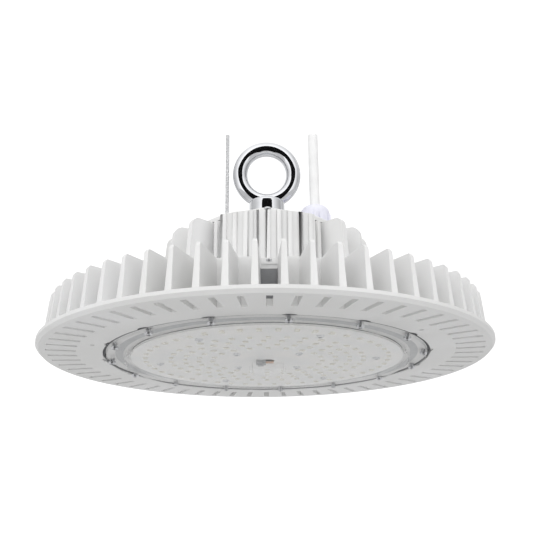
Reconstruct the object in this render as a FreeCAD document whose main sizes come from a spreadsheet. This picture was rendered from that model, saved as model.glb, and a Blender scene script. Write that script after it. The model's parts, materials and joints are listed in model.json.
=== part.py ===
"""A suspended high bay light, in millimetres.

Two castings make the body: a wide heat sink with a rim of low fins and air slots, and a
driver housing with ribs and tall wings that stands on it. Levels are counted from the
underside of the heat sink's rim plate, and every piece is then lowered by eye_level, so
that the origin is the centre of the suspension eye. Turns are counted from the +X side,
anticlockwise from above.
"""
import FreeCAD, Part
import math
import os
import Sketcher

SIZES = {
    # heat sink: rim plate
    "plate_radius": 162.5,
    "plate_top": 4.4,
    "rim_chamfer": 2.2,
    # heat sink: recess for the lens, and the floor behind the board
    "recess_radius": 117.5,
    "drip_groove_radius": 115.4,
    "drip_groove_top": 3.0,
    "seat_level": 1.0,
    "seal_groove_inner": 103.2,
    "seal_groove_outer": 108.8,
    "seal_groove_top": 2.6,
    "floor_top": 6.0,
    "lead_hole_radius": 6.0,
    # heat sink: drum that carries the driver housing
    "drum_radius": 126.0,
    "drum_top_radius": 125.5,
    "drum_top": 34.0,
    "drum_bore": 118.0,
    "ledge_radius": 122.0,
    "ledge_level": 30.0,
    # heat sink: fins, slots and small holes
    "fin_count": 60,
    "fin_turn": 3,
    "fin_root_radius": 123.0,
    "fin_foot": 3.4,
    "fin_radius": 158.0,
    "fin_half_foot": 2.25,
    "fin_shoulder": 32.0,
    "fin_shoulder_radius": 155.7,
    "fin_shoulder_half": 1.35,
    "fin_top_radius": 154.2,
    "fin_half_top": 1.15,
    "slot_inner": 135.5,
    "slot_outer": 155.7,
    "slot_half": 2.0,
    "keyhole_radius": 2.8,
    "keyhole_place": 152.0,
    "keyhole_turn": -24,
    "keyhole_count": 4,
    "front_turn": -90,
    "reflector_hole_radius": 1.5,
    "reflector_hole_place": 126.25,
    "reflector_hole_depth": 7.0,
    "reflector_turn": -39,
    "reflector_count": 3,
    "boss_place": 112.0,
    "boss_radius": 4.5,
    "boss_turn": 30,
    "boss_count": 6,
    "boss_hole_radius": 1.7,
    "boss_hole_floor": 16.0,
    # heat sink: earthing pad at the front of the drum
    "pad_face_radius": 125.0,
    "pad_half": 4.9,
    "pad_low": 12.0,
    "pad_high": 29.0,
    "sill_level": 30.5,
    "earth_screw_place": 123.9,
    "earth_screw_radius": 1.0,
    "earth_screw_end": 23.0,
    "earth_head_radius": 1.8,
    "earth_head_top": 32.2,
    # driver housing
    "deck_radius": 121.8,
    "wall_radius": 56.5,
    "cavity_radius": 49.0,
    "wall_top": 90.0,
    "rib_root_radius": 52.0,
    "rib_radius": 58.5,
    "rib_half": 1.5,
    "rib_foot": 33.0,
    "bank_rib_radius": 67.4,
    "bank_rib_half": 2.75,
    "bank_rib_count": 10,
    "bank_turn": -117,
    "bank_angle": 54,
    "wing_count": 20,
    "wing_turn": 9,
    "wing_foot_radius": 80.0,
    "wing_top_radius": 75.6,
    "wing_corner": 7.0,
    "wing_half": 2.0,
    # driver cover, its seal and its screws
    "seal_top": 91.0,
    "seal_inner": 49.2,
    "seal_outer": 51.2,
    "cover_top": 95.0,
    "cover_edge": 1.5,
    "crown_foot_radius": 22.5,
    "crown_radius": 18.0,
    "crown_shoulder": 104.0,
    "crown_top_radius": 16.5,
    "crown_top": 113.0,
    "crown_bore": 16.5,
    "crown_roof": 101.0,
    "cover_screw_place": 53.8,
    "cover_screw_turn": 30,
    "cover_screw_count": 6,
    "cover_screw_end": 78.0,
    "cover_head_top": 96.8,
    # eye bolt, washer and nut
    "eye_level": 149.5,
    "ring_radius": 21.0,
    "ring_section": 6.0,
    "bolt_radius": 6.0,
    "bolt_hole_radius": 6.3,
    "bolt_end": 91.0,
    "collar_radius": 15.0,
    "collar_top": 118.0,
    "neck_radius": 8.5,
    "neck_fillet": 5.0,
    "neck_top": 130.0,
    "washer_radius": 12.0,
    "washer_low": 98.5,
    "bolt_nut_corner": 10.4,
    "bolt_nut_low": 92.5,
    # cable gland
    "gland_place": 37.5,
    "gland_boss_radius": 11.3,
    "gland_boss_low": 86.0,
    "gland_thread_radius": 10.0,
    "gland_hex_corner": 13.6,
    "gland_washer_radius": 12.2,
    "gland_washer_top": 96.2,
    "gland_hex_top": 102.2,
    "gland_cup_radius": 9.0,
    "gland_cup_bore": 6.6,
    "gland_cup_top": 113.0,
    "gland_bore": 5.0,
    "gland_seal_foot": 104.0,
    "gland_seal_top": 118.0,
    "gland_nut_bore": 9.1,
    "gland_nut_roof": 114.0,
    "gland_nut_hex_top": 111.0,
    "gland_nut_radius": 12.1,
    "gland_nut_shoulder": 117.5,
    "gland_nut_shoulder_radius": 10.6,
    "gland_nut_mouth": 7.2,
    "gland_nut_top": 123.5,
    "gland_nut_hole": 4.5,
    # mains cable and safety rope
    "cable_radius": 4.0,
    "cable_foot": 110.0,
    "cord_end": 183.5,
    "rope_radius": 1.5,
    "rope_place": -31.0,
    "cord_lean": 0.2,
    # rope anchor
    "anchor_shank_radius": 2.5,
    "anchor_shank_end": 84.0,
    "anchor_hex_corner": 5.0,
    "anchor_hex_top": 98.0,
    "anchor_sleeve_radius": 2.8,
    "anchor_sleeve_top": 106.0,
    "anchor_nut_low": 87.5,
    # driver block
    "driver_half_length": 38.0,
    "driver_half_width": 23.0,
    "driver_foot_top": 36.0,
    "driver_block_half_length": 31.0,
    "driver_block_top": 72.0,
    "driver_corner": 4.0,
    "driver_screw_across": 34.6,
    "driver_screw_along": 13.0,
    "driver_screw_end": 31.0,
    "driver_screw_head_top": 38.0,
    # board, pad, chips and connector
    "board_radius": 98.0,
    "board_top": 0.5,
    "board_face": -1.1,
    "chip_face": -1.8,
    "chip_half": 1.6,
    "chip_pitch": 12.0,
    "board_hole_radius": 5.0,
    "board_screw_place": 79.0,
    "board_screw_turn": -5,
    "board_screw_count": 6,
    "inner_screw_place": 31.0,
    "inner_screw_turn": 45,
    "inner_screw_count": 4,
    "board_screw_face": -2.3,
    "board_screw_end": 4.5,
    "connector_half_length": 6.5,
    "connector_half_width": 4.0,
    "connector_across": -2.0,
    "connector_face": -6.5,
    "lead_radius": 0.9,
    "lead_length": 16.0,
    # lens cover and its screws
    "lens_radius": 115.0,
    "lens_flange_face": -1.5,
    "lens_step_radius": 103.0,
    "lens_window_radius": 102.2,
    "lens_window_face": -5.0,
    "lens_inner_radius": 100.0,
    "lens_window_inner_radius": 99.4,
    "lens_window_back": -2.5,
    "cap_radius": 13.2,
    "cap_corner": 2.0,
    "cap_face": -11.0,
    "cap_inner_radius": 11.2,
    "cap_back": -9.0,
    "ear_place": 112.5,
    "ear_radius": 5.5,
    "ear_turn": 12,
    "ear_count": 15,
    "scallop_radius": 7.0,
    "lens_screw_face": -3.5,
    "lens_screw_end": 5.0,
    # one small machine screw size is used throughout
    "screw_radius": 1.5,
    "screw_head_radius": 2.7,
    "screw_pilot_radius": 1.5,
    "screw_clearance_radius": 1.7,
}
CHIP_RINGS = (40, 50, 60, 70, 88)

document = FreeCAD.newDocument("HighBayLight")
sizes = document.addObject("Spreadsheet::Sheet", "Sizes")
for row, (alias, number) in enumerate(SIZES.items(), start=1):
    sizes.set(f"A{row}", alias)
    sizes.set(f"B{row}", str(number))
    sizes.setAlias(f"B{row}", alias)
document.recompute()

subparts = []


# ---- sizes as sums of named cells ------------------------------------------------------

def value(formula):
    """The number that a sum of named sizes gives, such as "cover_top - cover_edge"."""
    total = 0.0
    sign = 1
    for word in formula.split():
        if word in ("+", "-"):
            sign = 1 if word == "+" else -1
        else:
            total += sign * SIZES.get(word, 0.0)
            sign = 1
    return total


def bound(formula):
    """The same sum as an expression on the sheet's cells."""
    return " ".join(f"Sizes.{word}" if word in SIZES else word for word in formula.split())


def bind(item, **formulas):
    """Sets number properties, each from a sum of named sizes."""
    for name, formula in formulas.items():
        setattr(item, name, type(getattr(item, name))(value(formula)))
        item.setExpression(name, bound(formula))


def lower_to_frame(item):
    """Moves a piece down so that the origin is the centre of the eye."""
    item.Placement.Base = FreeCAD.Vector(0, 0, -value("eye_level"))
    item.setExpression("Placement.Base.z", bound("- eye_level"))


def subpart(item, name):
    item.Label = name
    subparts.append(item)
    return item


# ---- PartDesign helpers ----------------------------------------------------------------

def new_body(name):
    body = document.addObject("PartDesign::Body", name)
    body.AllowCompound = True
    lower_to_frame(body)
    return subpart(body, name)


def origin_item(body, role):
    return next(item for item in body.Origin.OriginFeatures if item.Role == role)


def new_sketch(body, role, lift="0", turn="0"):
    """A sketch on an origin plane, lifted off it and turned about the body's Z axis."""
    sketch = body.newObject("Sketcher::SketchObject", body.Name + "_sketch")
    sketch.AttachmentSupport = [(origin_item(body, role), "")]
    sketch.MapMode = "FlatFace"
    up = FreeCAD.Vector(0, 0, 1) if role == "XY_Plane" else FreeCAD.Vector(0, 1, 0)
    spin = FreeCAD.Rotation(up, value(turn))
    sketch.AttachmentOffset = FreeCAD.Placement(FreeCAD.Vector(0, 0, value(lift)), spin)
    if lift != "0":
        sketch.setExpression("AttachmentOffset.Base.z", bound(lift))
    if turn != "0":
        sketch.setExpression("AttachmentOffset.Rotation.Angle", bound(turn))
    return sketch


def dimension(sketch, kind, geometry, point, formula):
    """Ties one coordinate of a sketch point to the sheet, or to an axis where it is 0."""
    if formula == "0":
        axis = -2 if kind == "DistanceX" else -1
        sketch.addConstraint(Sketcher.Constraint("PointOnObject", geometry, point, axis))
        return
    rule = Sketcher.Constraint(kind, -1, 1, geometry, point, value(formula))
    index = sketch.addConstraint(rule)
    name = f"size_{index}"
    sketch.renameConstraint(index, name)
    sketch.setExpression(f"Constraints.{name}", bound(formula))


def outline(sketch, corners):
    """A closed outline. A corner is (across, up), with a third entry where it is rounded."""
    first = sketch.GeometryCount
    count = len(corners)
    places = [FreeCAD.Vector(value(c[0]), value(c[1]), 0) for c in corners]
    for index in range(count):
        sketch.addGeometry(Part.LineSegment(places[index], places[(index + 1) % count]))
    for index in range(count):
        follower = first + (index + 1) % count
        rule = Sketcher.Constraint("Coincident", first + index, 2, follower, 1)
        sketch.addConstraint(rule)
    for index, corner in enumerate(corners):
        dimension(sketch, "DistanceX", first + index, 1, corner[0])
        dimension(sketch, "DistanceY", first + index, 1, corner[1])
    for index, corner in enumerate(corners):
        if len(corner) > 2:
            before = first + (index - 1) % count
            arc = sketch.GeometryCount
            sketch.fillet(before, 2, value(corner[2]), True, True)
            radius = sketch.addConstraint(Sketcher.Constraint("Radius", arc, value(corner[2])))
            sketch.renameConstraint(radius, f"round_{index}")
            sketch.setExpression(f"Constraints.round_{index}", bound(corner[2]))
    return sketch


def circle(sketch, across, up, radius):
    centre = FreeCAD.Vector(value(across), value(up), 0)
    index = sketch.addGeometry(Part.Circle(centre, FreeCAD.Vector(0, 0, 1), value(radius)))
    dimension(sketch, "DistanceX", index, 3, across)
    dimension(sketch, "DistanceY", index, 3, up)
    rule = sketch.addConstraint(Sketcher.Constraint("Radius", index, value(radius)))
    sketch.renameConstraint(rule, f"radius_{rule}")
    sketch.setExpression(f"Constraints.radius_{rule}", bound(radius))
    return sketch


def rectangle(sketch, left, right, half):
    return outline(sketch, [(left, "- " + half), (right, "- " + half), (right, half), (left, half)])


def revolve(body, corners, kind="PartDesign::Revolution"):
    sketch = outline(new_sketch(body, "XZ_Plane"), corners)
    feature = body.newObject(kind, body.Name + "_turned")
    feature.Profile = sketch
    feature.ReferenceAxis = (sketch, ["V_Axis"])
    feature.Angle = 360
    return feature


def raise_pad(body, sketch, low, high):
    """Pads a sketch that lies at the level low up to the level high."""
    pad = body.newObject("PartDesign::Pad", body.Name + "_pad")
    pad.Profile = sketch
    bind(pad, Length=f"{high} - {low}".replace("- -", "+"))
    return pad


def cut_up(body, sketch, low, high):
    """Cuts a sketch that lies at the level low up to the level high."""
    document.recompute()
    before = body.Shape.Volume
    pocket = body.newObject("PartDesign::Pocket", body.Name + "_cut")
    pocket.Profile = sketch
    pocket.Reversed = True
    bind(pocket, Length=f"{high} - {low}".replace("- -", "+"))
    document.recompute()
    if body.Shape.Volume > before - 0.01:
        raise RuntimeError(f"{body.Label}: {pocket.Name} cuts nothing")
    return pocket


def repeat(body, feature, count, angle=None):
    pattern = body.newObject("PartDesign::PolarPattern", body.Name + "_ring")
    pattern.Originals = [feature]
    pattern.Axis = (origin_item(body, "Z_Axis"), [""])
    pattern.Angle = 360
    if angle:
        bind(pattern, Angle=angle)
    pattern.Occurrences = int(value(count))
    pattern.setExpression("Occurrences", bound(count))
    body.Tip = pattern
    return pattern


def drill_ring(body, radius, place, low, high, turn, count):
    sketch = circle(new_sketch(body, "XY_Plane", low, turn), place, "0", radius)
    return repeat(body, cut_up(body, sketch, low, high), count)


def turned(name, corners):
    body = new_body(name)
    revolve(body, corners)
    return body


def ring_of_screws(name, place, turn, count, head_low, head_high, shank_end,
                   head="screw_head_radius"):
    """Pan head screws on a circle, each a separate solid. shank_end is the tip's level."""
    body = new_body(name)
    levels = sorted([head_low, head_high, shank_end], key=value)
    shank = [head_low, shank_end] if shank_end == levels[2] else [shank_end, head_high]
    sketch = circle(new_sketch(body, "XY_Plane", head_low, turn), place, "0", head)
    heads = raise_pad(body, sketch, head_low, head_high)
    sketch = circle(new_sketch(body, "XY_Plane", shank[0], turn), place, "0", "screw_radius")
    shanks = raise_pad(body, sketch, *shank)
    pattern = repeat(body, heads, count)
    pattern.Originals = [heads, shanks]
    return body


# ---- Part helpers ----------------------------------------------------------------------

def stand(item, low, across="0"):
    item.Placement.Base = FreeCAD.Vector(value(across), 0, value(low))
    item.setExpression("Placement.Base.x", bound(across))
    item.setExpression("Placement.Base.z", bound(low))
    return item


def cylinder(name, radius, low, high, across="0"):
    item = document.addObject("Part::Cylinder", name)
    bind(item, Radius=radius, Height=f"{high} - {low}")
    return stand(item, low, across)


def hexagon(name, corner_radius, low, high, across="0"):
    item = document.addObject("Part::Prism", name)
    item.Polygon = 6
    bind(item, Circumradius=corner_radius, Height=f"{high} - {low}")
    return stand(item, low, across)


def join(name, *items):
    fused = document.addObject("Part::MultiFuse", name)
    fused.Shapes = list(items)
    fused.Refine = True
    return fused


def bored(name, item, *bores):
    """Cuts the bores out of item, one after another."""
    for index, bore in enumerate(bores):
        last = index == len(bores) - 1
        cut = document.addObject("Part::Cut", name if last else f"{name}_bored_{index}")
        cut.Base = item
        cut.Tool = bore
        item = cut
    lower_to_frame(item)
    return subpart(item, name)


# ---- heat sink ---------------------------------------------------------------------------

def make_heat_sink():
    body = turned("heat_sink", [
        ("lead_hole_radius", "seat_level"), ("seal_groove_inner", "seat_level"),
        ("seal_groove_inner", "seal_groove_top"), ("seal_groove_outer", "seal_groove_top"),
        ("seal_groove_outer", "seat_level"), ("drip_groove_radius", "seat_level"),
        ("drip_groove_radius", "drip_groove_top"), ("recess_radius", "drip_groove_top"),
        ("recess_radius", "0"), ("plate_radius - rim_chamfer", "0"),
        ("plate_radius", "rim_chamfer"), ("plate_radius", "plate_top"),
        ("drum_radius", "plate_top"), ("drum_top_radius", "drum_top"),
        ("ledge_radius", "drum_top"), ("ledge_radius", "ledge_level"),
        ("drum_bore", "ledge_level"), ("drum_bore", "floor_top"),
        ("lead_hole_radius", "floor_top")])

    boss = circle(new_sketch(body, "XY_Plane", "floor_top - seat_level", "boss_turn"),
                  "boss_place", "0", "boss_radius")
    repeat(body, raise_pad(body, boss, "floor_top + seat_level", "ledge_level"), "boss_count")
    drill_ring(body, "boss_hole_radius", "boss_place", "boss_hole_floor", "ledge_level",
               "boss_turn", "boss_count")

    # air slots between the fins
    slot = rectangle(new_sketch(body, "XY_Plane"), "slot_inner", "slot_outer", "slot_half")
    repeat(body, cut_up(body, slot, "0", "plate_top"), "fin_count")
    drill_ring(body, "keyhole_radius", "keyhole_place", "0", "plate_top",
               "keyhole_turn", "keyhole_count")

    # recess lobes for the ears of the lens, and its screw holes
    drill_ring(body, "scallop_radius", "ear_place", "0", "seat_level", "ear_turn", "ear_count")
    drill_ring(body, "screw_pilot_radius", "ear_place", "seat_level", "lens_screw_end",
               "ear_turn", "ear_count")
    drill_ring(body, "screw_pilot_radius", "board_screw_place", "seat_level",
               "board_screw_end", "board_screw_turn", "board_screw_count")
    drill_ring(body, "screw_pilot_radius", "inner_screw_place", "seat_level",
               "board_screw_end", "inner_screw_turn", "inner_screw_count")

    # earthing pad between the two front fins, with a sill above it
    pad = rectangle(new_sketch(body, "XY_Plane", "pad_low", "front_turn"),
                    "pad_face_radius", "drum_radius + screw_radius", "pad_half")
    cut_up(body, pad, "pad_low", "pad_high")
    sill = rectangle(new_sketch(body, "XY_Plane", "sill_level", "front_turn"),
                     "ledge_radius", "drum_radius + screw_radius", "pad_half")
    cut_up(body, sill, "sill_level", "drum_top")
    hole = circle(new_sketch(body, "XY_Plane", "earth_screw_end", "front_turn"),
                  "earth_screw_place", "0", "earth_screw_radius")
    cut_up(body, hole, "earth_screw_end", "sill_level")

    # low fins: drafted on every side, with the outer corner taken off in one short step
    outlines = []
    for level, outer, half in [("fin_foot", "fin_radius", "fin_half_foot"),
                               ("fin_shoulder", "fin_shoulder_radius", "fin_shoulder_half"),
                               ("drum_top", "fin_top_radius", "fin_half_top")]:
        sketch = new_sketch(body, "XY_Plane", level, "fin_turn")
        outlines.append(rectangle(sketch, "fin_root_radius", outer, half))
    fin = body.newObject("PartDesign::AdditiveLoft", "heat_sink_fin")
    fin.Profile = outlines[0]
    fin.Sections = outlines[1:]
    fin.Ruled = True
    repeat(body, fin, "fin_count")
    drill_ring(body, "reflector_hole_radius", "reflector_hole_place", "0",
               "reflector_hole_depth", "reflector_turn", "reflector_count")


def make_earth_screw():
    body = new_body("earth_screw")
    head = circle(new_sketch(body, "XY_Plane", "sill_level", "front_turn"),
                  "earth_screw_place", "0", "earth_head_radius")
    raise_pad(body, head, "sill_level", "earth_head_top")
    shank = circle(new_sketch(body, "XY_Plane", "earth_screw_end", "front_turn"),
                   "earth_screw_place", "0", "earth_screw_radius")
    raise_pad(body, shank, "earth_screw_end", "sill_level")


# ---- driver housing ------------------------------------------------------------------------

def make_driver_housing():
    body = turned("driver_housing", [
        ("lead_hole_radius", "ledge_level"), ("deck_radius", "ledge_level"),
        ("deck_radius", "drum_top"), ("wall_radius", "drum_top"),
        ("wall_radius", "wall_top"), ("cavity_radius", "wall_top"),
        ("cavity_radius", "drum_top"), ("lead_hole_radius", "drum_top")])

    rib = rectangle(new_sketch(body, "XY_Plane", "rib_foot", "fin_turn"),
                    "rib_root_radius", "rib_radius", "rib_half")
    repeat(body, raise_pad(body, rib, "rib_foot", "wall_top"), "fin_count")

    # deep ribs stand close together at the front and at the back of the housing
    bank = new_sketch(body, "XY_Plane", "rib_foot", "bank_turn")
    rectangle(bank, "rib_root_radius", "bank_rib_radius", "bank_rib_half")
    rectangle(bank, "- bank_rib_radius", "- rib_root_radius", "bank_rib_half")
    repeat(body, raise_pad(body, bank, "rib_foot", "wall_top"), "bank_rib_count", "bank_angle")

    # tall wings, narrower at the top and round at the outer corner
    profile = outline(new_sketch(body, "XZ_Plane", turn="wing_turn"), [
        ("rib_root_radius", "rib_foot"), ("wing_foot_radius", "rib_foot"),
        ("wing_top_radius", "wall_top", "wing_corner"), ("rib_root_radius", "wall_top")])
    wing = body.newObject("PartDesign::Pad", "driver_housing_wing")
    wing.Profile = profile
    wing.SideType = "Symmetric"
    bind(wing, Length="wing_half + wing_half")
    repeat(body, wing, "wing_count")

    drill_ring(body, "screw_pilot_radius", "cover_screw_place", "cover_screw_end", "wall_top",
               "cover_screw_turn", "cover_screw_count")
    drill_ring(body, "screw_clearance_radius", "boss_place", "ledge_level", "drum_top",
               "boss_turn", "boss_count")
    holes = new_sketch(body, "XY_Plane", "driver_screw_end")
    for across in ("driver_screw_across", "- driver_screw_across"):
        for along in ("driver_screw_along", "- driver_screw_along"):
            circle(holes, across, along, "screw_pilot_radius")
    cut_up(body, holes, "driver_screw_end", "drum_top")


def make_driver_cover():
    body = turned("driver_cover", [
        ("bolt_hole_radius", "crown_roof"), ("crown_bore", "crown_roof"),
        ("crown_bore", "seal_top"), ("wall_radius", "seal_top"),
        ("wall_radius", "cover_top - cover_edge"), ("wall_radius - cover_edge", "cover_top"),
        ("crown_foot_radius", "cover_top"), ("crown_radius", "crown_shoulder"),
        ("crown_top_radius", "crown_top"), ("bolt_hole_radius", "crown_top")])
    boss = circle(new_sketch(body, "XY_Plane", "gland_boss_low"),
                  "gland_place", "0", "gland_boss_radius")
    raise_pad(body, boss, "gland_boss_low", "cover_top")
    hole = circle(new_sketch(body, "XY_Plane", "gland_boss_low"),
                  "gland_place", "0", "gland_thread_radius")
    cut_up(body, hole, "gland_boss_low", "crown_shoulder")
    hole = circle(new_sketch(body, "XY_Plane", "seal_top"),
                  "rope_place", "0", "anchor_shank_radius")
    cut_up(body, hole, "seal_top", "cover_top")
    drill_ring(body, "screw_clearance_radius", "cover_screw_place", "seal_top", "cover_top",
               "cover_screw_turn", "cover_screw_count")


def make_cover_gasket():
    turned("cover_gasket", [("seal_inner", "wall_top"), ("seal_outer", "wall_top"),
                            ("seal_outer", "seal_top"), ("seal_inner", "seal_top")])


# ---- eye bolt --------------------------------------------------------------------------------

def make_eye_bolt():
    body = turned("eye_bolt", [
        ("0", "bolt_end"), ("bolt_radius", "bolt_end"), ("bolt_radius", "crown_top"),
        ("collar_radius", "crown_top"), ("collar_radius", "collar_top"),
        ("neck_radius", "collar_top", "neck_fillet"),
        ("ring_section", "neck_top"), ("0", "neck_top")])
    ring = body.newObject("PartDesign::AdditiveTorus", "eye_bolt_ring")
    ring.AttachmentSupport = [(origin_item(body, "XZ_Plane"), "")]
    ring.MapMode = "FlatFace"
    ring.AttachmentOffset.Base = FreeCAD.Vector(0, value("eye_level"), 0)
    ring.setExpression("AttachmentOffset.Base.y", bound("eye_level"))
    bind(ring, Radius1="ring_radius", Radius2="ring_section")


def make_eye_bolt_fixings():
    turned("eye_bolt_washer", [
        ("bolt_hole_radius", "washer_low"), ("washer_radius", "washer_low"),
        ("washer_radius", "crown_roof"), ("bolt_hole_radius", "crown_roof")])
    blank = hexagon("eye_bolt_nut_blank", "bolt_nut_corner", "bolt_nut_low", "washer_low")
    bore = cylinder("eye_bolt_nut_bore", "bolt_radius", "bolt_nut_low", "washer_low")
    bored("eye_bolt_nut", blank, bore)


# ---- cable gland -----------------------------------------------------------------------------

def make_gland():
    place = "gland_place"
    face_seal = cylinder("gland_washer_blank", "gland_washer_radius", "cover_top",
                         "gland_washer_top", place)
    bore = cylinder("gland_washer_bore", "gland_thread_radius", "cover_top",
                    "gland_washer_top", place)
    bored("gland_washer", face_seal, bore)

    stem = cylinder("gland_stem", "gland_thread_radius", "gland_boss_low",
                    "gland_washer_top", place)
    hexagonal = hexagon("gland_hexagon", "gland_hex_corner", "gland_washer_top",
                        "gland_hex_top", place)
    cup = cylinder("gland_cup", "gland_cup_radius", "gland_hex_top", "gland_cup_top", place)
    through = cylinder("gland_through", "gland_bore", "gland_boss_low", "gland_cup_top", place)
    seat = cylinder("gland_seat", "gland_cup_bore", "gland_seal_foot", "gland_cup_top", place)
    bored("gland_body", join("gland_body_blank", stem, hexagonal, cup), through, seat)

    plug = cylinder("gland_seal_blank", "gland_cup_bore", "gland_seal_foot",
                    "gland_cup_top", place)
    lip = cylinder("gland_seal_lip", "gland_bore + cord_lean", "gland_cup_top",
                   "gland_nut_roof", place)
    bore = cylinder("gland_seal_bore", "cable_radius", "gland_seal_foot", "gland_nut_roof",
                    place)
    bored("gland_seal", join("gland_seal_body", plug, lip), bore)


def make_gland_nut():
    """A dome nut: a hexagon skirt under a rounded crown, turned about its own axis."""
    body = document.addObject("PartDesign::Body", "gland_nut_crown")
    revolve(body, [
        ("gland_nut_hole", "gland_nut_roof"), ("gland_nut_bore", "gland_nut_roof"),
        ("gland_nut_bore", "gland_hex_top"), ("gland_nut_radius", "gland_hex_top"),
        ("gland_nut_radius", "gland_nut_hex_top", "ring_section"),
        ("gland_nut_shoulder_radius", "gland_nut_shoulder", "ring_section"),
        ("gland_nut_mouth", "gland_nut_top"), ("gland_nut_hole", "gland_nut_top")])
    stand(body, "0", "gland_place")
    skirt = hexagon("gland_nut_hexagon", "gland_hex_corner", "gland_hex_top",
                    "gland_nut_hex_top", "gland_place")
    bore = cylinder("gland_nut_skirt_bore", "gland_nut_bore", "gland_hex_top",
                    "gland_nut_hex_top", "gland_place")
    hollow_skirt = document.addObject("Part::Cut", "gland_nut_skirt")
    hollow_skirt.Base = skirt
    hollow_skirt.Tool = bore
    nut = join("gland_nut", body, hollow_skirt)
    lower_to_frame(nut)
    subpart(nut, "gland_nut")


# ---- cords -----------------------------------------------------------------------------------

def make_cord(name, radius, points):
    """A tube along straight runs that tangent arcs join, one arc at each inner point."""
    edges = []
    start = points[0]
    length = 0.0
    for before, corner, after in zip(points, points[1:], points[2:]):
        inward = (corner - before).normalize()
        outward = (after - corner).normalize()
        half_turn = inward.getAngle(outward) / 2
        reach = 0.45 * min(before.distanceToPoint(corner), corner.distanceToPoint(after))
        bend = reach / math.tan(half_turn)
        entry = corner - inward * reach
        leave = corner + outward * reach
        towards = (outward - inward).normalize()
        middle = corner + towards * (bend / math.cos(half_turn) - bend)
        edges.append(Part.LineSegment(start, entry).toShape())
        edges.append(Part.Arc(entry, middle, leave).toShape())
        print(f"{name}: bend radius {bend:.0f} mm")
        start = leave
    edges.append(Part.LineSegment(start, points[-1]).toShape())
    route = Part.Wire(edges)
    length = route.Length
    section = Part.Wire(Part.makeCircle(radius, points[0], points[1] - points[0]))
    tube = route.makePipeShell([section], True, False)
    expected = math.pi * radius ** 2 * length
    if abs(tube.Volume / expected - 1) > 0.01:
        raise RuntimeError(f"{name}: the tube's volume is not its section times its length")
    print(f"{name}: length {length:.1f} mm")
    cord = document.addObject("Part::Feature", name)
    cord.Shape = tube
    cord.Placement.Base = FreeCAD.Vector(0, 0, -value("eye_level"))
    subpart(cord, name)


def cord_points(place, foot):
    """Three points straight up from the foot, with the slight lean of a hung line."""
    middle = (foot + sizes.cord_end) / 2
    lean = sizes.cord_lean
    return [FreeCAD.Vector(place, 0, foot), FreeCAD.Vector(place, 0, middle),
            FreeCAD.Vector(place - lean, 2 * lean, sizes.cord_end)]


def make_cords():
    make_cord("power_cable", sizes.cable_radius,
              cord_points(sizes.gland_place, sizes.cable_foot))
    make_cord("safety_rope", sizes.rope_radius,
              cord_points(sizes.rope_place, sizes.anchor_sleeve_top))


def make_rope_anchor():
    place = "rope_place"
    anchor = join(
        "rope_anchor",
        cylinder("anchor_shank", "anchor_shank_radius", "anchor_shank_end", "cover_top", place),
        hexagon("anchor_hexagon", "anchor_hex_corner", "cover_top", "anchor_hex_top", place),
        cylinder("anchor_sleeve", "anchor_sleeve_radius", "anchor_hex_top",
                 "anchor_sleeve_top", place))
    lower_to_frame(anchor)
    subpart(anchor, "rope_anchor")
    blank = hexagon("anchor_nut_blank", "anchor_hex_corner", "anchor_nut_low", "seal_top", place)
    bore = cylinder("anchor_nut_bore", "anchor_shank_radius", "anchor_nut_low", "seal_top",
                    place)
    bored("anchor_nut", blank, bore)


# ---- driver ----------------------------------------------------------------------------------

def make_driver():
    body = new_body("led_driver")
    foot = rectangle(new_sketch(body, "XY_Plane", "drum_top"), "- driver_half_length",
                     "driver_half_length", "driver_half_width")
    raise_pad(body, foot, "drum_top", "driver_foot_top")
    block = new_sketch(body, "XY_Plane", "driver_foot_top")
    outline(block, [(across, along, "driver_corner") for across, along in [
        ("- driver_block_half_length", "- driver_half_width"),
        ("driver_block_half_length", "- driver_half_width"),
        ("driver_block_half_length", "driver_half_width"),
        ("- driver_block_half_length", "driver_half_width")]])
    raise_pad(body, block, "driver_foot_top", "driver_block_top")
    holes = new_sketch(body, "XY_Plane", "drum_top")
    screws = new_body("driver_screws")
    shanks = new_sketch(screws, "XY_Plane", "driver_screw_end")
    heads = new_sketch(screws, "XY_Plane", "driver_foot_top")
    for across in ("driver_screw_across", "- driver_screw_across"):
        for along in ("driver_screw_along", "- driver_screw_along"):
            circle(holes, across, along, "screw_clearance_radius")
            circle(shanks, across, along, "screw_radius")
            circle(heads, across, along, "screw_head_radius")
    cut_up(body, holes, "drum_top", "driver_foot_top")
    raise_pad(screws, shanks, "driver_screw_end", "driver_foot_top")
    raise_pad(screws, heads, "driver_foot_top", "driver_screw_head_top")


# ---- board -----------------------------------------------------------------------------------

def disc_with_board_holes(name, radius, low, high):
    body = turned(name, [("board_hole_radius", low), (radius, low), (radius, high),
                         ("board_hole_radius", high)])
    for ring in ("board_screw", "inner_screw"):
        drill_ring(body, "screw_clearance_radius", ring + "_place", low, high,
                   ring + "_turn", ring + "_count")


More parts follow.
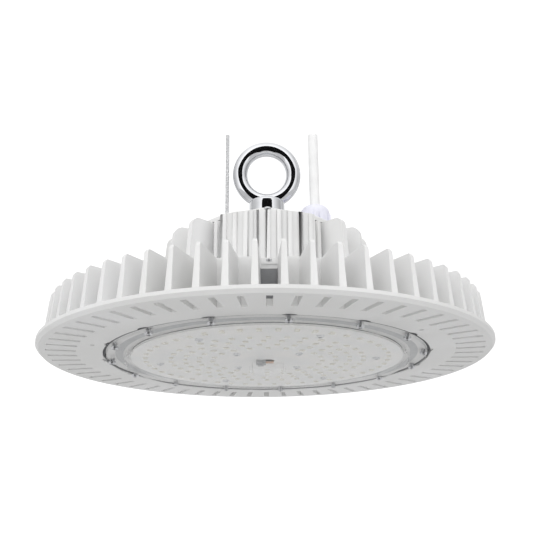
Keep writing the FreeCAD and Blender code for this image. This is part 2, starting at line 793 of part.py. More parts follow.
def make_board():
    disc_with_board_holes("thermal_pad", "board_radius", "board_top", "seat_level")
    disc_with_board_holes("led_board", "board_radius", "board_face", "board_top")

    chips = []
    across = 2 * sizes.chip_half
    depth = sizes.board_face - sizes.chip_face
    for ring in CHIP_RINGS:
        count = int(2 * math.pi * ring / sizes.chip_pitch)
        for index in range(count):
            chip = Part.makeBox(across, across, depth, FreeCAD.Vector(
                ring - sizes.chip_half, -sizes.chip_half, sizes.chip_face))
            chip.rotate(FreeCAD.Vector(), FreeCAD.Vector(0, 0, 1), 360 * index / count)
            chips.append(chip)
    led_chips = document.addObject("Part::Feature", "led_chips")
    led_chips.Shape = Part.makeCompound(chips)
    led_chips.Placement.Base = FreeCAD.Vector(0, 0, -value("eye_level"))
    subpart(led_chips, "led_chips")

    outer = ring_of_screws("board_screws", "board_screw_place", "board_screw_turn",
                           "board_screw_count", "board_screw_face", "board_face",
                           "board_screw_end")
    add_ring(outer, "inner_screw_place", "inner_screw_turn", "inner_screw_count",
             "board_screw_face", "board_face", "board_screw_end")


def add_ring(body, place, turn, count, head_low, head_high, shank_end):
    """A second ring of the same screws in a node that holds one ring already."""
    sketch = circle(new_sketch(body, "XY_Plane", head_low, turn), place, "0",
                    "screw_head_radius")
    heads = raise_pad(body, sketch, head_low, head_high)
    sketch = circle(new_sketch(body, "XY_Plane", head_low, turn), place, "0", "screw_radius")
    shanks = raise_pad(body, sketch, head_low, shank_end)
    repeat(body, heads, count).Originals = [heads, shanks]


def make_connector():
    body = new_body("board_connector")
    sketch = new_sketch(body, "XY_Plane", "connector_face")
    rectangle(sketch, "connector_across - connector_half_length",
              "connector_across + connector_half_length", "connector_half_width")
    raise_pad(body, sketch, "connector_face", "board_face")


# ---- lens ------------------------------------------------------------------------------------

def make_lens():
    body = turned("lens_cover", [
        ("0", "cap_face"), ("cap_radius", "cap_face", "cap_corner"),
        ("cap_radius", "lens_window_face"), ("lens_window_radius", "lens_window_face"),
        ("lens_step_radius", "lens_flange_face"), ("lens_radius", "lens_flange_face"),
        ("lens_radius", "seat_level"), ("lens_inner_radius", "seat_level"),
        ("lens_window_inner_radius", "lens_window_back"),
        ("cap_inner_radius", "lens_window_back"), ("cap_inner_radius", "cap_back"),
        ("0", "cap_back")])
    ear = circle(new_sketch(body, "XY_Plane", "lens_flange_face", "ear_turn"),
                 "ear_place", "0", "ear_radius")
    repeat(body, raise_pad(body, ear, "lens_flange_face", "seat_level"), "ear_count")
    drill_ring(body, "screw_clearance_radius", "ear_place", "lens_flange_face", "seat_level",
               "ear_turn", "ear_count")
    turned("lens_gasket", [
        ("seal_groove_inner", "seat_level"), ("seal_groove_outer", "seat_level"),
        ("seal_groove_outer", "seal_groove_top"), ("seal_groove_inner", "seal_groove_top")])


def make_screw_rings():
    ring_of_screws("lens_screws", "ear_place", "ear_turn", "ear_count",
                   "lens_screw_face", "lens_flange_face", "lens_screw_end")
    ring_of_screws("cover_screws", "cover_screw_place", "cover_screw_turn",
                   "cover_screw_count", "cover_top", "cover_head_top", "cover_screw_end")
    ring_of_screws("housing_screws", "boss_place", "boss_turn", "boss_count",
                   "drum_top", "driver_foot_top", "boss_hole_floor")


# ---- build and write ---------------------------------------------------------------------------

def write_parts():
    document.recompute()
    for item in document.Objects:
        if "Invalid" in item.State or "Error" in item.State:
            raise RuntimeError(f"{item.Name}: {item.State}")
    os.makedirs("parts", exist_ok=True)
    for item in subparts:
        shape = item.Shape
        if shape.isNull() or not shape.isValid():
            raise RuntimeError(f"{item.Label}: its shape is null or not valid")
        shape.exportStep(f"parts/{item.Label}.step")
        print(f"{item.Label}: {len(shape.Solids)} solids, {shape.Volume / 1000:.2f} cm3")


make_heat_sink()
make_earth_screw()
make_driver_housing()
make_driver_cover()
make_cover_gasket()
make_eye_bolt()
make_eye_bolt_fixings()
make_gland()
make_gland_nut()
make_cords()
make_rope_anchor()
make_driver()
make_board()
make_connector()
make_lens()
make_screw_rings()
write_parts()
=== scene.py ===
import json
import math

import bmesh
import bpy
from mathutils import Matrix, Vector


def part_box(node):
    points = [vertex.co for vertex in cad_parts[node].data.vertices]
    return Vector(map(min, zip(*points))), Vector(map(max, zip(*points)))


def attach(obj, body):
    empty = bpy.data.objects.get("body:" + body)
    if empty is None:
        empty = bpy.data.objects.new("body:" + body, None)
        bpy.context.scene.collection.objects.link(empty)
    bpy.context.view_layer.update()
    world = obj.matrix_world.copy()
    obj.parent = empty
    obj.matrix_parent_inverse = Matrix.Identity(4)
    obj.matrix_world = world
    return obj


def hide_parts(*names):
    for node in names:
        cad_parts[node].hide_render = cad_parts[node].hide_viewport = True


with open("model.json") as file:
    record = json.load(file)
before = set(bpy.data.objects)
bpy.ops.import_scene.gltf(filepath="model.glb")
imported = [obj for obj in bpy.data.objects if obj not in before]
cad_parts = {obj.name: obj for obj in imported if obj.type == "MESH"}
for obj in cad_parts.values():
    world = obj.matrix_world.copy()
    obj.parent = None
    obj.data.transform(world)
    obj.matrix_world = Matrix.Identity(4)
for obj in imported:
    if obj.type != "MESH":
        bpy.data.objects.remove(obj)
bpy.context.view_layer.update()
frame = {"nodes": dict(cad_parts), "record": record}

MM = 0.001
EYE = 149.5      # the eye's centre, which is the origin, above the underside of the rim, in mm
NODES = frame["nodes"]


def level(height):
    """A height above the underside of the rim, as one from the eye's centre, both in mm."""
    return height - EYE


# ---- node trees ------------------------------------------------------------------------------

def linear(hex_colour):
    """An sRGB hex colour as linear red, green, blue and alpha."""
    parts = [int(hex_colour[i:i + 2], 16) / 255 for i in (1, 3, 5)]
    return [c / 12.92 if c <= 0.04045 else ((c + 0.055) / 1.055) ** 2.4 for c in parts] + [1.0]


def add(tree, kind, settings=None, **inputs):
    """Adds a node. settings are its properties, and inputs its sockets' values or links.

    Sockets go by name, with _ for a space, or by number as i0, i1 and so on."""
    made = tree.nodes.new(kind)
    for name, setting in (settings or {}).items():
        setattr(made, name, setting)
    for name, given in inputs.items():
        name = int(name[1:]) if name[0] == "i" and name[1:].isdigit() else name.replace("_", " ")
        if isinstance(given, bpy.types.NodeSocket):
            tree.links.new(given, made.inputs[name])
        else:
            made.inputs[name].default_value = given
    return made


def new_material(name):
    """A material whose Principled shader is joined to its output, its tree and that shader."""
    material = bpy.data.materials.new(name)
    material.use_nodes = True
    tree = material.node_tree
    return material, tree, tree.nodes["Principled BSDF"]


def set_shader(shader, **values):
    for name, given in values.items():
        shader.inputs[name.replace("_", " ")].default_value = given


def object_space(tree):
    return add(tree, "ShaderNodeTexCoord").outputs["Object"]


def speckle_bump(tree, shader, size_mm, height_mm, detail=2.0):
    """A fine random relief whose bumps are size_mm apart."""
    noise = add(tree, "ShaderNodeTexNoise", Vector=object_space(tree),
                Scale=1000 / size_mm, Detail=detail)
    bump = add(tree, "ShaderNodeBump", Height=noise.outputs["Fac"],
               Distance=height_mm * MM, Strength=1.0)
    tree.links.new(bump.outputs["Normal"], shader.inputs["Normal"])


def tinted(tree, shader, dark, light, size_mm):
    """Lets the colour drift between two shades in soft patches size_mm across."""
    noise = add(tree, "ShaderNodeTexNoise", Vector=object_space(tree),
                Scale=1000 / size_mm, Detail=4.0)
    ramp = add(tree, "ShaderNodeValToRGB", Fac=noise.outputs["Fac"])
    for end, position, shade in zip(ramp.color_ramp.elements, (0.35, 0.65), (dark, light)):
        end.position = position
        end.color = linear(shade)
    tree.links.new(ramp.outputs["Color"], shader.inputs["Base Color"])


def surface(name, shades, patch_mm, relief, **values):
    """A material in two drifting shades.

    relief is the size and height of its bumps in millimetres, and their detail if unusual."""
    material, tree, shader = new_material(name)
    tinted(tree, shader, *shades, patch_mm)
    set_shader(shader, **values)
    speckle_bump(tree, shader, *relief)
    return material


# ---- materials -------------------------------------------------------------------------------

# the box where the coat is painted a flat mid-grey, in the pocket under the earth screw: its
# middle and half width along each axis, in mm
GREY_PATCH_BOX = (("X", 0.3, 6.1), ("Y", -125.0, 4.0), ("Z", -133.9, 10.6))


def powder_coat():
    """White polyester powder coat on cast aluminium: satin, with a fine orange peel."""
    return surface("white_powder_coat", ("#e1e1e0", "#e7e7e7"), 60, (1.6, 0.012),
                   Roughness=0.5, IOR=1.5)


def powder_coat_with_grey_patch():
    """The same coat, painted a flat mid-grey, darker than the coat around it, in a box round the
    pocket under the earth screw.
    """
    material = powder_coat()
    material.name = "white_powder_coat_grey_patch"
    tree = material.node_tree
    shader = tree.nodes["Principled BSDF"]
    place = add(tree, "ShaderNodeSeparateXYZ", Vector=object_space(tree))
    in_patch = 1.0
    for axis, middle, half in GREY_PATCH_BOX:
        band = add(tree, "ShaderNodeMath", {"operation": "COMPARE"}, i0=place.outputs[axis],
                   i1=middle * MM, i2=half * MM)
        in_patch = add(tree, "ShaderNodeMath", {"operation": "MULTIPLY"}, i0=in_patch,
                   i1=band.outputs[0]).outputs[0]
    coat = shader.inputs["Base Color"].links[0].from_socket
    # inside the box only the coat's colour changes, to a flat mid-grey; the shader stays the
    # coat's own, with no metal in it
    mix = add(tree, "ShaderNodeMix", {"data_type": "RGBA"}, i0=in_patch, i6=coat,
              i7=linear("#8b8c8e"))
    tree.links.new(mix.outputs[2], shader.inputs["Base Color"])
    return material


def polished_chrome():
    """Polished chrome plate: a mirror, with only faint polishing waves."""
    return surface("chrome_plate", ("#d4d5d8", "#dcdde0"), 8, (5.0, 0.004, 1.0),
                   Metallic=1.0, Roughness=0.04)


def zinc_plate():
    """Bright zinc plate on steel screws: pale bluish metal, slightly dull."""
    return surface("zinc_plate", ("#cfd0d3", "#e4e5e7"), 2, (0.6, 0.01),
                   Metallic=1.0, Roughness=0.33)


def clear_polycarbonate():
    """Clear moulded polycarbonate: glossy, nearly colourless, with faint flow waves.

    Its index is far below the 1.58 of real polycarbonate, so that the board shows through
    the thick cap and walls. A thin coat gives the gloss instead."""
    material, tree, shader = new_material("clear_polycarbonate")
    set_shader(shader, Base_Color=linear("#ffffff"), Roughness=0.02, IOR=1.01)
    set_shader(shader, Transmission_Weight=1.0, Coat_Weight=0.3, Coat_Roughness=0.03)
    speckle_bump(tree, shader, 18.0, 0.02, 1.0)
    return material


def moulded_nylon():
    """Pale moulded nylon: satin, a little blue."""
    return surface("moulded_nylon", ("#e4e4f0", "#eaeaf5"), 5, (0.9, 0.01),
                   Roughness=0.38, IOR=1.53)


def cable_sheath():
    """Extruded PVC sheath: white and smooth, with a faint grain."""
    return surface("pvc_sheath", ("#eeeeee", "#f4f4f4"), 10, (1.2, 0.01),
                   Roughness=0.4, IOR=1.52)


def galvanised_wire():
    """Galvanised steel wire: pale grey, dull, with spangles as wide as one wire."""
    return surface("galvanised_wire", ("#b4b5b7", "#ececed"), 0.9, (0.3, 0.01),
                   Metallic=0.1, Roughness=0.45)


def seal_rubber():
    """Grey silicone rubber: matt, soft sheen."""
    return surface("silicone_rubber", ("#55575a", "#606264"), 6, (0.8, 0.02),
                   Roughness=0.7, IOR=1.42)


def pale_rubber():
    """Milky grey silicone rubber under the lens, half matt."""
    return surface("milky_silicone", ("#b9bbbd", "#c4c6c7"), 8, (0.8, 0.02),
                   Roughness=0.5, IOR=1.41)


def solder_mask():
    """White solder mask on an aluminium board: satin, very slightly uneven."""
    return surface("white_solder_mask", ("#f3f4f4", "#f9f8f6"), 25, (1.5, 0.01),
                   Roughness=0.45, IOR=1.5)


def phosphor():
    """Phosphor gel in the light-emitting chips: pale warm yellow, glossy."""
    return surface("phosphor_gel", ("#efece0", "#f5f3ec"), 3, (0.7, 0.01),
                   Roughness=0.25, IOR=1.41)


def connector_plastic():
    """Moulded grey plastic of a board connector."""
    return surface("moulded_connector", ("#b6b7b9", "#c4c5c6"), 3, (0.7, 0.01),
                   Roughness=0.45, IOR=1.5)


def tail_sleeve():
    """Silicone sleeve on the two short wire tails: matt, skin-coloured beige."""
    return surface("beige_silicone_sleeve", ("#d9bfae", "#e3cdbf"), 1.5, (0.5, 0.01),
                   Roughness=0.6, IOR=1.42)


def potting():
    """Black epoxy potting: hard, half glossy, slightly wavy."""
    return surface("black_potting", ("#1c1d1f", "#26272a"), 9, (4.0, 0.03),
                   Roughness=0.5, IOR=1.55)


FINISHES = {
    "casting_paint": powder_coat(),
    "bright_chrome": polished_chrome(),
    "zinc_screw": zinc_plate(),
    "zinc_fitting": zinc_plate(),
    "gland_nylon": moulded_nylon(),
    "seal_rubber": seal_rubber(),
    "cable_sheath": cable_sheath(),
    "galvanised_wire": galvanised_wire(),
    "driver_potting": potting(),
    "pad_silicone": seal_rubber(),
    "board_white": solder_mask(),
    "chip_phosphor": phosphor(),
    "connector_plastic": connector_plastic(),
    "lens_clear": clear_polycarbonate(),
}
PALE_SEAL = pale_rubber()


def dress_cad_nodes():
    """Gives every carried-over piece the finish of its slot."""
    for part in frame["record"]["subparts"]:
        piece = NODES[part["node"]]
        piece.data.materials.clear()
        piece.data.materials.append(FINISHES[part["material_slot"]])
    NODES["lens_gasket"].data.materials[0] = PALE_SEAL


# ---- camera ------------------------------------------------------------------------------------

def make_camera():
    """Looks up at the light from below its rim, 570 mm from its axis."""
    away, below_rim = 0.570, 0.1285
    data = bpy.data.cameras.new("camera")
    data.lens = 53.6
    data.sensor_width = 36
    data.shift_x = -0.0558
    camera = bpy.data.objects.new("camera", data)
    reach = Vector((0, -away, -EYE * MM - below_rim))
    orbit = Matrix.Rotation(math.radians(-0.486), 4, "Z")
    pan = Matrix.Rotation(math.radians(-2.218), 4, "Z")
    tilt = Matrix.Rotation(math.radians(90 + 19.296), 4, "X")
    roll = Matrix.Rotation(math.radians(-1.046), 4, "Z")
    camera.matrix_world = orbit @ Matrix.Translation(reach) @ pan @ tilt @ roll
    bpy.context.collection.objects.link(camera)
    bpy.context.scene.camera = camera


# ---- ways of making a piece --------------------------------------------------------------------

def mesh_of(shape, name):
    mesh = bpy.data.meshes.new(name)
    shape.to_mesh(mesh)
    shape.free()
    return mesh


def keep_piece(name, mesh, slot, *replaced, finish=None, smooth_degrees=35):
    """Links a mesh as a finished piece of the light, standing for the solids it replaces."""
    piece = bpy.data.objects.new(name, mesh)
    bpy.context.collection.objects.link(piece)
    mesh.materials.clear()
    mesh.materials.append(finish or FINISHES[slot])
    mesh.shade_smooth()
    mesh.set_sharp_from_angle(angle=math.radians(smooth_degrees))
    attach(piece, "root")
    if replaced:
        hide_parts(*replaced)
    return piece


def merged_copy(node, whole_faces=True):
    """A copy of a solid's mesh, its loose triangles merged, into whole flat faces if asked."""
    shape = bmesh.new()
    shape.from_mesh(NODES[node].data)
    bmesh.ops.remove_doubles(shape, verts=shape.verts, dist=0.001 * MM)
    if whole_faces:
        bmesh.ops.dissolve_limit(shape, angle_limit=math.radians(0.5),
                                 verts=shape.verts, edges=shape.edges)
    return shape


def soften_edges(piece, width_mm, segments=2, degrees=30):
    """Rounds the edges of a cast or moulded piece that are sharper than degrees."""
    bevel = piece.modifiers.new("soft_edges", "BEVEL")
    bevel.width = width_mm * MM
    bevel.segments = segments
    bevel.limit_method = "ANGLE"
    bevel.angle_limit = math.radians(degrees)
    bevel.harden_normals = True


def turned(shape, degrees, axis="Z"):
    bmesh.ops.rotate(shape, verts=shape.verts, cent=(0, 0, 0),
                     matrix=Matrix.Rotation(math.radians(degrees), 3, axis))
    return shape


def moved(shape, x, y, z):
    """Shifts a shape by millimetres."""
    bmesh.ops.translate(shape, verts=shape.verts, vec=(x * MM, y * MM, z * MM))
    return shape


def everything(shape):
    return list(shape.verts) + list(shape.edges) + list(shape.faces)


def spun(shape, angle, steps):
    """Sweeps everything in the shape about the vertical axis."""
    bmesh.ops.spin(shape, geom=everything(shape), axis=(0, 0, 1), cent=(0, 0, 0),
                   angle=math.radians(angle), steps=steps, use_merge=angle == 360)
    bmesh.ops.remove_doubles(shape, verts=shape.verts, dist=0.001 * MM)
    bmesh.ops.recalc_face_normals(shape, faces=shape.faces)
    return shape


def lathe(profile, steps):
    """Turns an open profile of (radius, height) pairs, in millimetres, about the axis."""
    shape = bmesh.new()
    points = [shape.verts.new((r * MM, 0, z * MM)) for r, z in profile]
    for pair in zip(points, points[1:]):
        shape.edges.new(pair)
    return spun(shape, 360, steps)


def sector(inner, outer, low, high, turn, half, steps):
    """A block of a ring from inner to outer radius, half degrees to each side of turn."""
    shape = bmesh.new()
    corners = ((inner, low), (outer, low), (outer, high), (inner, high))
    shape.faces.new([shape.verts.new((r * MM, 0, z * MM)) for r, z in corners])
    return spun(turned(shape, turn - half), 2 * half, steps)


def block(low, high):
    """A box between two corners in millimetres."""
    shape = bmesh.new()
    bmesh.ops.create_cube(shape, size=1)
    low, high = Vector(low), Vector(high)
    bmesh.ops.scale(shape, verts=shape.verts, vec=(high - low) * MM)
    bmesh.ops.translate(shape, verts=shape.verts, vec=(low + high) / 2 * MM)
    return shape


def rod(shape, radius, length, sides, **place):
    """Adds a closed cylinder or prism, upright round the origin unless place turns it."""
    bmesh.ops.create_cone(shape, cap_ends=True, segments=sides, radius1=radius * MM,
                          radius2=radius * MM, depth=length * MM, **place)
    return shape


def boolean(mesh, tool, operation):
    """Joins the tool's shape to a mesh, or cuts it out, through two temporary objects."""
    holder, cutter = (bpy.data.objects.new(n, m) for n, m in
                      (("holder", mesh), ("cutter", mesh_of(tool, "cutter"))))
    for made in (holder, cutter):
        bpy.context.collection.objects.link(made)
    change = holder.modifiers.new("change", "BOOLEAN")
    change.operation = operation
    change.object = cutter
    change.solver = "EXACT"
    graph = bpy.context.evaluated_depsgraph_get()
    result = bpy.data.meshes.new_from_object(holder.evaluated_get(graph))
    bpy.data.objects.remove(holder)
    bpy.data.objects.remove(cutter)
    return result


# ---- cords -------------------------------------------------------------------------------------

# in millimetres, from inside the gland or the anchor up to the cut end
CABLE_ROUTE = ((37.5, 0, 110), (37.5, 0, 146.75), (37.3, 0.4, 183.5))
ROPE_ROUTE = ((-31, 0, 106), (-31, 0, 144.75), (-31.2, 0.4, 183.5))
CABLE_RADIUS = 4.0
STRAND_RADIUS = 0.5
STRAND_CIRCLE = 1.0      # the radius at which the outer strands lie round the core
OUTER_STRANDS = 6
LAY = 10.5               # the length of rope in which a strand goes round once


def route_curve(name, route, radius_mm):
    """A smooth spline along a route, with a round section where radius_mm isn't 0."""
    curve = bpy.data.curves.new(name, "CURVE")
    curve.dimensions = "3D"
    curve.resolution_u = 48
    curve.bevel_depth = radius_mm * MM
    curve.bevel_resolution = 8
    curve.use_fill_caps = True
    spline = curve.splines.new("NURBS")
    spline.points.add(len(route) - 1)
    for point, (x, y, z) in zip(spline.points, route):
        point.co = (x * MM, y * MM, (z - EYE) * MM, 1)
    spline.order_u = 3
    spline.use_endpoint_u = True
    piece = bpy.data.objects.new(name, curve)
    bpy.context.collection.objects.link(piece)
    return piece


def make_power_cable():
    cable = route_curve("power_cable_sheath", CABLE_ROUTE, CABLE_RADIUS)
    cable.data.materials.append(FINISHES["cable_sheath"])
    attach(cable, "root")
    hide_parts("power_cable")


def make_safety_rope():
    """Wire rope: strands laid round a core strand."""
    guide = route_curve("rope_guide", ROPE_ROUTE, 0)
    line = bpy.data.meshes.new_from_object(guide)
    path = [v.co.copy() for v in line.vertices]
    bpy.data.objects.remove(guide)
    curve = bpy.data.curves.new("strands", "CURVE")
    curve.dimensions = "3D"
    curve.bevel_depth = STRAND_RADIUS * MM
    curve.bevel_resolution = 3
    curve.use_fill_caps = True
    low = path[0].z
    for strand in range(OUTER_STRANDS + 1):
        # the last strand is the core
        reach = STRAND_CIRCLE * MM if strand < OUTER_STRANDS else 0
        spline = curve.splines.new("POLY")
        spline.points.add(len(path) - 1)
        for point, place in zip(spline.points, path):
            turn = math.tau * (strand / OUTER_STRANDS + (place.z - low) / (LAY * MM))
            offset = Vector((math.cos(turn), math.sin(turn), 0)) * reach
            point.co = (*(place + offset), 1)
    holder = bpy.data.objects.new("strands", curve)
    shape = bmesh.new()
    shape.from_mesh(bpy.data.meshes.new_from_object(holder))
    bpy.data.objects.remove(holder)
    # both ends are cut square, where the strands' own ends lean
    for height, side in ((path[0].z, -1), (path[-1].z, 1)):
        cut = bmesh.ops.bisect_plane(shape, geom=everything(shape), plane_co=(0, 0, height),
                                     plane_no=(0, 0, side), clear_outer=True)["geom_cut"]
        bmesh.ops.holes_fill(shape, edges=[g for g in cut if isinstance(g, bmesh.types.BMEdge)],
                             sides=0)
    rope = keep_piece("safety_rope_strands", mesh_of(shape, "safety_rope_strands"),
                      "galvanised_wire", "safety_rope", smooth_degrees=60)


# ---- castings ----------------------------------------------------------------------------------

CASTING_EDGE = 0.35      # how far a casting's edges are rounded, in millimetres


def make_heat_sink():
    piece = keep_piece("heat_sink_casting", mesh_of(merged_copy("heat_sink"), "heat_sink_casting"),
                       "casting_paint", "heat_sink", finish=powder_coat_with_grey_patch())
    soften_edges(piece, CASTING_EDGE)


def make_driver_housing():
    """The ribbed housing, with shallow grooves between narrow ribs at its front and back."""
    foot, rib_pitch = level(33.5), 6.6
    mesh = mesh_of(merged_copy("driver_housing"), "housing")
    for turn in (-90, 90):
        # what stands on the deck goes, down to a hair under it, and a thicker wall comes back
        room = sector(inner=57.0, outer=82, low=level(33.98), high=level(92), turn=turn,
                      half=30.5, steps=24)
        mesh = boolean(mesh, room, "DIFFERENCE")
        wall = sector(inner=55.5, outer=66.2, low=foot, high=level(89.8), turn=turn,
                      half=30, steps=24)
        mesh = boolean(mesh, wall, "UNION")
        for k in range(-4, 5):
            rib = sector(inner=65.5, outer=67.4, low=foot, high=level(89.4),
                         turn=turn + rib_pitch * k, half=1.25, steps=1)
            mesh = boolean(mesh, rib, "UNION")
    piece = keep_piece("driver_housing_casting", mesh, "casting_paint", "driver_housing")
    soften_edges(piece, CASTING_EDGE)


def make_driver_cover():
    piece = keep_piece("driver_cover_casting",
                       mesh_of(merged_copy("driver_cover"), "driver_cover_casting"),
                       "casting_paint", "driver_cover")
    soften_edges(piece, 0.4)


# ---- eye bolt ----------------------------------------------------------------------------------

def make_eye_bolt():
    """An eye of round section on a broad collar, forged in one piece and chromed."""
    section, half_width, half_height, sink = 5.9, 21.0, 22.6, -1.5
    eye = bmesh.new()
    bmesh.ops.create_circle(eye, segments=40, radius=section * MM)
    moved(eye, half_width, 0, 0)
    turned(eye, 90, "X")
    spun(eye, 360, steps=128)
    # the ring lies flat as spun, so it is stood up before it is drawn out in height
    turned(eye, 90, "X")
    for vert in eye.verts:
        height = math.hypot(vert.co.x, vert.co.z)
        vert.co.z *= (half_height + height / MM - half_width) / (height / MM)
    moved(eye, 0, 0, sink)
    low, top, shank = level(113), level(124.4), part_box("eye_bolt")[0][2] / MM
    collar = lathe([(0, top), (11.6, top), (12.6, top - 0.15), (13.4, top - 0.6),
                    (13.85, top - 1.4), (14, top - 2.4), (14, low + 0.6), (13.4, low),
                    (6, low), (6, shank + 1), (5.2, shank), (0, shank)], steps=96)
    mesh = boolean(mesh_of(collar, "eye_bolt_forging"), eye, "UNION")
    piece = keep_piece("eye_bolt_forging", mesh, "bright_chrome", "eye_bolt")
    soften_edges(piece, 1.0, segments=3, degrees=40)


# ---- lens and board ----------------------------------------------------------------------------

def make_lens():
    """The lens, its flange a hair below its seat so that light passes out of it cleanly."""
    gap, reach = 0.06, 0.01
    shape = merged_copy("lens_cover", whole_faces=False)
    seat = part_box("lens_cover")[1][2]
    for vert in shape.verts:
        if vert.co.z > seat - reach * MM:
            vert.co.z -= gap * MM
    keep_piece("lens_moulding", mesh_of(shape, "lens_moulding"), "lens_clear", "lens_cover",
               smooth_degrees=1)


def make_seal_edge_and_groove_shade():
    """A dark rubber bead in the drip groove round the lens, laid as the seal's edge; its dark
    colour is painted shade for the groove.
    """
    bead, ring = 0.95, 116.45
    bead_section = bmesh.new()
    bmesh.ops.create_circle(bead_section, segments=12, radius=bead * MM)
    moved(turned(bead_section, 90, "X"), ring, 0, level(1.15))
    # the bead's dark rubber is painted shade in the groove, standing as the seal's edge
    keep_piece("seal_edge_and_groove_shade", mesh_of(spun(bead_section, 360, steps=180), "seal_edge_and_groove_shade"), "seal_rubber",
               smooth_degrees=60)


def make_connector():
    """A low two-way board connector: body, latch, two entries, and two soldered tails."""
    (x0, y0, _), (_, y1, z1) = ([c / MM for c in corner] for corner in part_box("board_connector"))
    # measured inward from the sides of the solid's box, and down from the board, which is at z1
    entries = (-1.5, 1.5)
    body = mesh_of(block((x0, y0 + 0.5, z1 - 3.1), (-1.4, y1 - 0.5, z1)), "connector_body")
    latch = block((x0 + 1.4, y0 + 1.4, z1 - 4.2), (-3.0, y1 - 1.4, z1 - 0.5))
    body = boolean(body, latch, "UNION")
    for y in entries:
        entry = block((-2.6, y - 0.7, z1 - 2.3), (0, y + 0.7, z1 - 0.7))
        body = boolean(body, entry, "DIFFERENCE")
    soften_edges(keep_piece("connector_body", body, "connector_plastic", "board_connector"), 0.2)
    tails = bmesh.new()
    for y in entries:
        rod(tails, 0.65, 6.6, 16, matrix=Matrix.Translation(Vector((1.0, y, z1 - 1.5)) * MM)
            @ Matrix.Rotation(math.radians(90), 4, "Y"))
        # a drop of solder at the tail's end
        bmesh.ops.create_uvsphere(tails, u_segments=16, v_segments=8, radius=0.95 * MM,
                                  matrix=Matrix.Translation(Vector((3.5, y, z1 - 0.95)) * MM))
    keep_piece("connector_tails", mesh_of(tails, "connector_tails"), "connector_plastic",
               finish=tail_sleeve())


# ---- gland -------------------------------------------------------------------------------------

def make_gland_nut():
    """The dome nut of the gland: six flats below, a fluted dome above, round the cable."""
    low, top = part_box("gland_nut")[0][2] / MM, level(119.8)
    bore, dome, corner, hexagon_height, flutes = 4.1, 11.8, 13.5, 9, 18
    body = lathe([(0, top - 1.2), (bore, top - 1.2), (bore, top), (7.6, top - 0.1),
                  (9.3, top - 0.9), (10.7, top - 2.8), (11.5, top - 5.6), (dome, top - 9),
                  (dome, low + 2), (0, low + 2)], steps=72)
    hexagon = moved(rod(bmesh.new(), corner, hexagon_height, 6), 0, 0, low + hexagon_height / 2)
    mesh = boolean(mesh_of(body, "gland_dome_nut"), hexagon, "UNION")
    for k in range(flutes):
        flute = moved(rod(bmesh.new(), 0.75, 8.5, 8), 12.05, 0, top - 9.3)
        mesh = boolean(mesh, turned(flute, 360 / flutes * k), "DIFFERENCE")
    shape = bmesh.new()
    shape.from_mesh(mesh)
    moved(shape, CABLE_ROUTE[0][0], 0, 0)
    piece = keep_piece("gland_dome_nut", mesh_of(shape, "gland_dome_nut"), "gland_nylon",
                       "gland_nut")
    soften_edges(piece, 0.3)


# ---- screws ------------------------------------------------------------------------------------

def pan_screw(head, thick, shank, length):
    """A pan-head screw standing on z = 0 with a cross recess, as a mesh. Both widths are radii."""
    body = lathe([(0, thick), (head * 0.55, thick * 0.97), (head * 0.82, thick * 0.83),
                  (head * 0.96, thick * 0.55), (head, thick * 0.25), (head, 0), (shank, 0),
                  (shank, -length), (0, -length)], steps=20)
    mesh = mesh_of(body, "pan_screw")
    for turn in (0, 90):
        slot = bmesh.new()
        bmesh.ops.create_cube(slot, size=1)
        bmesh.ops.scale(slot, verts=slot.verts, vec=Vector((1.25 * head, 0.3 * head, thick)) * MM)
        moved(slot, 0, 0, 0.85 * thick)
        mesh = boolean(mesh, turned(slot, turn), "DIFFERENCE")
    return mesh


def screw_set(name, node, rings, foot, head, thick, shank, up):
    """Rings of screws whose heads rise from the height foot, or hang from it if not up.

    Each ring has a radius, a first angle and a count. Angles go from the front toward +X."""
    low, high = (corner[2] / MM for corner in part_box(node))
    one = pan_screw(head, thick, shank, foot - low if up else high - foot)
    every = bmesh.new()
    for radius, first, count in rings:
        for k in range(count):
            angle = math.radians(first + 360 / count * k)
            shape = bmesh.new()
            shape.from_mesh(one)
            if not up:
                turned(shape, 180, "X")
            # every recess ends up at its own angle, as screws do
            turned(shape, 37 * k)
            moved(shape, radius * math.sin(angle), -radius * math.cos(angle), foot)
            every.from_mesh(mesh_of(shape, "placed"))
    keep_piece(name, mesh_of(every, name), "zinc_screw", node)


def make_screws():
    screw_set("lens_pan_screws", "lens_screws", [(112.5, 6, 15)], level(-1.5),
              head=2.7, thick=2.0, shank=1.5, up=False)
    screw_set("board_pan_screws", "board_screws", [(79, -35, 6), (31, 45, 4)], level(-1.1),
              head=2.7, thick=1.2, shank=1.4, up=False)
    thick = 2.0
    for name, node, radius, head in (("cover_pan_screws", "cover_screws", 53.8, 2.8),
                                     ("housing_pan_screws", "housing_screws", 112, 2.7)):
        screw_set(name, node, [(radius, 0, 6)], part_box(node)[1][2] / MM - thick,
                  head=head, thick=thick, shank=1.6, up=True)


# ---- stage and light ---------------------------------------------------------------------------

def make_floor():
    """A wide pale grey floor under the hanging light."""
    bpy.ops.mesh.primitive_plane_add(size=30, location=(0, 0, -1.6))
    floor = bpy.context.object
    floor.name = "studio_floor"
    material, _, shader = new_material("pale_floor")
    set_shader(shader, Base_Color=linear("#d1d1d1"), Roughness=0.9)
    floor.data.materials.append(material)


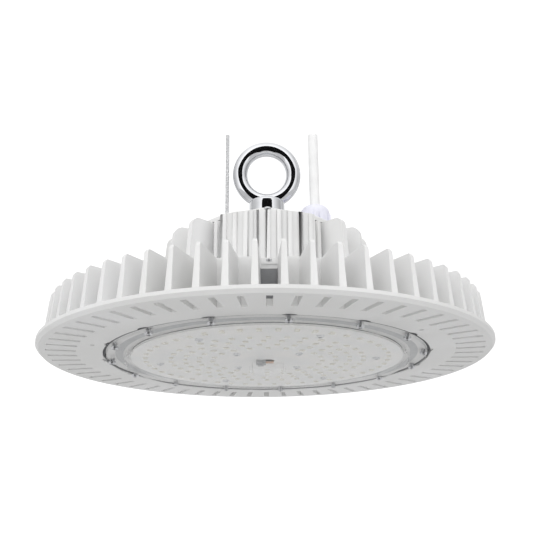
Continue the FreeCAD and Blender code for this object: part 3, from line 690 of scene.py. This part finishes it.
def make_light():
    """A white tent, brightest low and in front, gentler overhead and at the sides.

    Where the camera looks straight at it, it is never darker than a white backdrop."""
    brighter_toward, middle, side_fall, backdrop_white = (-0.10, -0.27, -0.45), 1.62, -1.0, 1.1
    world = bpy.data.worlds.new("studio_tent")
    bpy.context.scene.world = world
    world.use_nodes = True
    tree = world.node_tree
    tree.nodes.clear()
    way = add(tree, "ShaderNodeTexCoord").outputs["Generated"]
    front = add(tree, "ShaderNodeVectorMath", {"operation": "DOT_PRODUCT"}, i0=way,
                i1=brighter_toward)
    side = add(tree, "ShaderNodeSeparateXYZ", Vector=way).outputs["X"]
    sides = add(tree, "ShaderNodeMath", {"operation": "MULTIPLY"}, i0=side, i1=side)
    low = add(tree, "ShaderNodeMath", {"operation": "MULTIPLY_ADD"}, i0=sides.outputs[0],
              i1=side_fall, i2=middle)
    lit = add(tree, "ShaderNodeMath", {"operation": "ADD"}, i0=front.outputs["Value"],
              i1=low.outputs[0])
    backdrop = add(tree, "ShaderNodeMath", {"operation": "MULTIPLY"}, i1=backdrop_white,
                   i0=add(tree, "ShaderNodeLightPath").outputs["Is Camera Ray"])
    strength = add(tree, "ShaderNodeMath", {"operation": "MAXIMUM"}, i0=lit.outputs[0],
                   i1=backdrop.outputs[0])
    tent = add(tree, "ShaderNodeBackground", Color=(1, 1, 1, 1), Strength=strength.outputs[0])
    add(tree, "ShaderNodeOutputWorld", Surface=tent.outputs["Background"])


def make_dark_card():
    """A black card in front, bent back above the floor, which only chrome and gloss pick up."""
    half_width, away, top, drop, back = 0.62, 0.95, 0.64, 2.2, 0.88
    card = bmesh.new()
    points = [card.verts.new((x, -away, top)) for x in (-half_width, half_width)]
    edge = [card.edges.new(points)]
    for step in ((0, 0, -drop), (0, back, 0)):
        grown = bmesh.ops.extrude_edge_only(card, edges=edge)["geom"]
        bmesh.ops.translate(card, verts=[g for g in grown if isinstance(g, bmesh.types.BMVert)],
                            vec=step)
        edge = [g for g in grown if isinstance(g, bmesh.types.BMEdge)]
    piece = bpy.data.objects.new("dark_card", mesh_of(card, "dark_card"))
    bpy.context.collection.objects.link(piece)
    material, _, shader = new_material("black_card")
    set_shader(shader, Base_Color=linear("#161617"), Roughness=1.0, IOR=1.0)
    piece.data.materials.append(material)
    piece.visible_camera = piece.visible_diffuse = False
    piece.visible_shadow = piece.visible_transmission = False


# ---- the whole light and its stage -------------------------------------------------------------

make_camera()
dress_cad_nodes()
make_power_cable()
make_safety_rope()
make_heat_sink()
make_driver_housing()
make_driver_cover()
make_eye_bolt()
make_lens()
make_seal_edge_and_groove_shade()
make_connector()
make_gland_nut()
make_screws()
make_floor()
make_light()
make_dark_card()
bpy.context.scene.view_settings.view_transform = "Standard"
